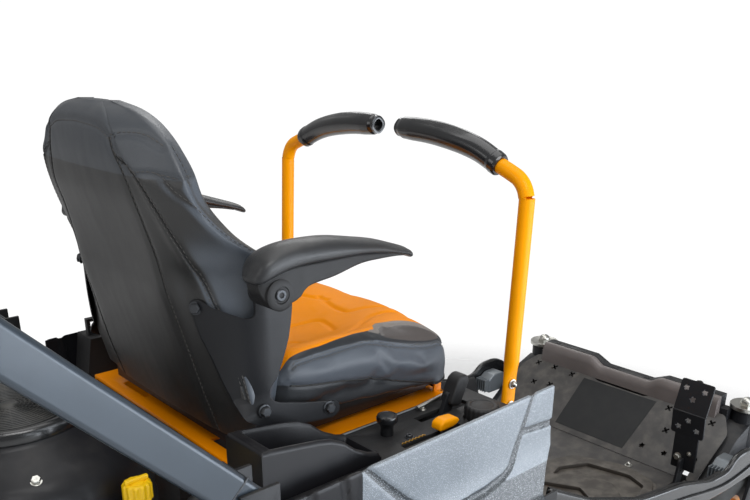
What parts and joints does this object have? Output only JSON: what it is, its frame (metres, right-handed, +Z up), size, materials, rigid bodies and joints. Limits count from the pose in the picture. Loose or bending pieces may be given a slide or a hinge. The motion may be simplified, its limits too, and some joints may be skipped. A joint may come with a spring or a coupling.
{
  "type": "zero turn mower",
  "caption": "Zero turn riding mower with lap-bar steering levers, high-back seat, folded roll bar, swivelling casters and a lifting side-discharge deck",
  "frame": {"origin": "on the ground, on the centre plane, below the bend of the steering levers", "axes": "+X points forward, +Y to the operator's left, +Z up"},
  "size_m": [2.1381, 1.4993, 1.3963],
  "materials": {
    "black_coat": "satin",
    "pan_paint": "matte",
    "gloss_black": "gloss",
    "grey_casting": "satin",
    "panel_plastic": "speckled satin",
    "console_plastic": "fine grain",
    "orange_paint": "gloss",
    "tank_plastic": "moulded",
    "casting": "as cast, painted",
    "bright_metal": "machined",
    "dark_steel": "heat dulled",
    "yellow_plastic": "satin",
    "roll_bar_paint": "metallic satin",
    "belt_rubber": "matte",
    "blade_steel": "ground edge",
    "grip_rubber": "gloss moulded",
    "seat_vinyl": "grained vinyl",
    "tyre_rubber": "matte",
    "gloss_plastic_black": "satin gloss"
  },
  "bodies": {
    "chassis": {"main_frame": "black_coat", "rear_guard": "black_coat", "floor_pan": "pan_paint", "toe_board": "pan_paint", "side_guards": "gloss_black", "headlights": "grey_casting", "left_fender": "panel_plastic", "right_fender": "panel_plastic", "left_console": "console_plastic", "right_console": "console_plastic", "storage_box": "console_plastic", "seat_platform": "orange_paint", "fuel_tank": "tank_plastic", "battery": "tank_plastic", "transaxles": "casting", "engine_block": "casting", "engine_shroud": "gloss_black", "fan_screen": "console_plastic", "muffler": "dark_steel", "air_cleaner": "console_plastic"},
    "roll_bar": {"roll_bar": "roll_bar_paint"},
    "engine_rotor": {"engine_fan": "bright_metal"},
    "clutch": {"clutch_pulley": "dark_steel"},
    "deck": {"deck_shell": "black_coat", "spindle_housings": "bright_metal", "belt_covers": "tank_plastic", "deck_belt": "belt_rubber"},
    "left_blade": {"left_blade": "blade_steel"},
    "centre_blade": {"centre_blade": "blade_steel"},
    "right_blade": {"right_blade": "blade_steel"},
    "chute": {"discharge_chute": "tank_plastic"},
    "left_roller": {"left_roller": "tank_plastic"},
    "right_roller": {"right_roller": "tank_plastic"},
    "left_lever_base": {"left_lever_base": "black_coat"},
    "left_lever": {"left_lever_tube": "orange_paint", "left_lever_grip": "grip_rubber"},
    "right_lever_base": {"right_lever_base": "black_coat"},
    "right_lever": {"right_lever_tube": "orange_paint", "right_lever_grip": "grip_rubber"},
    "seat": {"seat_base": "console_plastic", "seat_cushion": "seat_vinyl", "seat_back": "seat_vinyl", "seat_brackets": "black_coat"},
    "left_armrest": {"left_armrest": "seat_vinyl"},
    "right_armrest": {"right_armrest": "seat_vinyl"},
    "left_rear_wheel": {"left_rear_tyre": "tyre_rubber", "left_rear_rim": "orange_paint"},
    "right_rear_wheel": {"right_rear_tyre": "tyre_rubber", "right_rear_rim": "orange_paint"},
    "left_caster": {"left_caster_fork": "black_coat"},
    "right_caster": {"right_caster_fork": "black_coat"},
    "left_caster_wheel": {"left_caster_wheel": "tyre_rubber"},
    "right_caster_wheel": {"right_caster_wheel": "tyre_rubber"},
    "throttle": {"throttle_lever": "orange_paint"},
    "knob": {"round_knob": "gloss_plastic_black"},
    "brake": {"brake_lever": "black_coat"},
    "fuel_cap": {"fuel_cap": "gloss_plastic_black"},
    "oil_cap": {"oil_cap": "yellow_plastic"},
    "key": {"ignition_key": "gloss_plastic_black"},
    "pedal": {"deck_pedal": "black_coat"}
  },
  "joints": [
    {"name": "roll_bar_fold", "type": "hinge", "parent": "chassis", "child": "roll_bar", "pos_m": [-0.565, 0, 0.748], "axis": [0, 1, 0], "range_deg": [0, 44]},
    {"name": "engine_spin", "type": "hinge", "parent": "chassis", "child": "engine_rotor", "pos_m": [-0.683, 0, 0.5], "axis": [0, 0, 1], "continuous": true},
    {"name": "clutch_spin", "type": "hinge", "parent": "chassis", "child": "clutch", "pos_m": [-0.683, 0, 0.18], "axis": [0, 0, 1], "continuous": true},
    {"name": "deck_lift", "type": "slide", "parent": "chassis", "child": "deck", "axis": [0, 0, 1], "range_m": [0, 0.06], "deforming": ["deck_belt"]},
    {"name": "centre_blade_spin", "type": "hinge", "parent": "deck", "child": "centre_blade", "pos_m": [0.315, 0, 0.137], "axis": [0, 0, 1], "continuous": true},
    {"name": "left_blade_spin", "type": "hinge", "parent": "deck", "child": "left_blade", "pos_m": [0.165, 0.41, 0.137], "axis": [0, 0, 1], "continuous": true},
    {"name": "right_blade_spin", "type": "hinge", "parent": "deck", "child": "right_blade", "pos_m": [0.165, -0.41, 0.137], "axis": [0, 0, 1], "continuous": true},
    {"name": "chute_lift", "type": "hinge", "parent": "deck", "child": "chute", "pos_m": [0.18, -0.646, 0.148], "axis": [-1, 0, 0], "range_deg": [0, 95]},
    {"name": "left_roller_spin", "type": "hinge", "parent": "deck", "child": "left_roller", "pos_m": [0.445, 0.5, 0.06], "axis": [0, 1, 0], "continuous": true},
    {"name": "right_roller_spin", "type": "hinge", "parent": "deck", "child": "right_roller", "pos_m": [0.445, -0.5, 0.06], "axis": [0, 1, 0], "continuous": true},
    {"name": "left_lever_drive", "type": "hinge", "parent": "chassis", "child": "left_lever_base", "pos_m": [-0.02, 0.27, 0.59], "axis": [0, 1, 0], "range_deg": [-12, 15]},
    {"name": "left_lever_park", "type": "hinge", "parent": "left_lever_base", "child": "left_lever", "pos_m": [-0.02, 0.299, 0.64], "axis": [-1, 0, 0], "range_deg": [0, 20]},
    {"name": "right_lever_drive", "type": "hinge", "parent": "chassis", "child": "right_lever_base", "pos_m": [-0.02, -0.27, 0.59], "axis": [0, 1, 0], "range_deg": [-12, 15]},
    {"name": "right_lever_park", "type": "hinge", "parent": "right_lever_base", "child": "right_lever", "pos_m": [-0.02, -0.299, 0.64], "axis": [1, 0, 0], "range_deg": [0, 20]},
    {"name": "seat_flip", "type": "hinge", "parent": "chassis", "child": "seat", "pos_m": [-0.07, 0, 0.694], "axis": [0, 1, 0], "range_deg": [0, 40]},
    {"name": "left_armrest_lift", "type": "hinge", "parent": "seat", "child": "left_armrest", "pos_m": [-0.426, 0.265, 0.93], "axis": [0, -1, 0], "range_deg": [0, 95]},
    {"name": "right_armrest_lift", "type": "hinge", "parent": "seat", "child": "right_armrest", "pos_m": [-0.426, -0.265, 0.93], "axis": [0, -1, 0], "range_deg": [0, 95]},
    {"name": "left_rear_wheel_spin", "type": "hinge", "parent": "chassis", "child": "left_rear_wheel", "pos_m": [-0.44, 0.46, 0.254], "axis": [0, 1, 0], "continuous": true},
    {"name": "right_rear_wheel_spin", "type": "hinge", "parent": "chassis", "child": "right_rear_wheel", "pos_m": [-0.44, -0.46, 0.254], "axis": [0, 1, 0], "continuous": true},
    {"name": "left_caster_swivel", "type": "hinge", "parent": "chassis", "child": "left_caster", "pos_m": [0.881, 0.3, 0.35], "axis": [0, 0, 1], "continuous": true},
    {"name": "right_caster_swivel", "type": "hinge", "parent": "chassis", "child": "right_caster", "pos_m": [0.881, -0.3, 0.35], "axis": [0, 0, 1], "continuous": true},
    {"name": "left_caster_spin", "type": "hinge", "parent": "left_caster", "child": "left_caster_wheel", "pos_m": [0.806, 0.3, 0.14], "axis": [0, 1, 0], "continuous": true},
    {"name": "right_caster_spin", "type": "hinge", "parent": "right_caster", "child": "right_caster_wheel", "pos_m": [0.806, -0.3, 0.14], "axis": [0, 1, 0], "continuous": true},
    {"name": "throttle_set", "type": "hinge", "parent": "chassis", "child": "throttle", "pos_m": [-0.225, -0.334, 0.64], "axis": [0, 1, 0], "range_deg": [-28, 0]},
    {"name": "knob_pull", "type": "slide", "parent": "chassis", "child": "knob", "axis": [0, 0, 1], "range_m": [0, 0.012]},
    {"name": "brake_set", "type": "hinge", "parent": "chassis", "child": "brake", "pos_m": [-0.165, -0.285, 0.65], "axis": [0, 1, 0], "range_deg": [-30, 0]},
    {"name": "fuel_cap_turn", "type": "hinge", "parent": "chassis", "child": "fuel_cap", "pos_m": [-0.128, -0.341, 0.705], "axis": [0, 0, 1], "range_deg": [0, 120]},
    {"name": "oil_cap_turn", "type": "hinge", "parent": "chassis", "child": "oil_cap", "pos_m": [-0.6, -0.184, 0.69], "axis": [0, 0, 1], "range_deg": [0, 120]},
    {"name": "key_turn", "type": "hinge", "parent": "chassis", "child": "key", "pos_m": [-0.14, 0.33, 0.69], "axis": [0, 0, 1], "range_deg": [0, 60]},
    {"name": "pedal_push", "type": "hinge", "parent": "chassis", "child": "pedal", "pos_m": [0.64, -0.269, 0.24], "axis": [0, 1, 0], "range_deg": [0, 20]}
  ],
  "couplings": [
    {"joint": "left_blade_spin", "follows": "centre_blade_spin", "ratio": 1},
    {"joint": "right_blade_spin", "follows": "centre_blade_spin", "ratio": 1},
    {"joint": "clutch_spin", "follows": "centre_blade_spin", "ratio": 1},
    {"joint": "pedal_push", "follows": "deck_lift", "rad_per_m": 5.8}
  ]
}
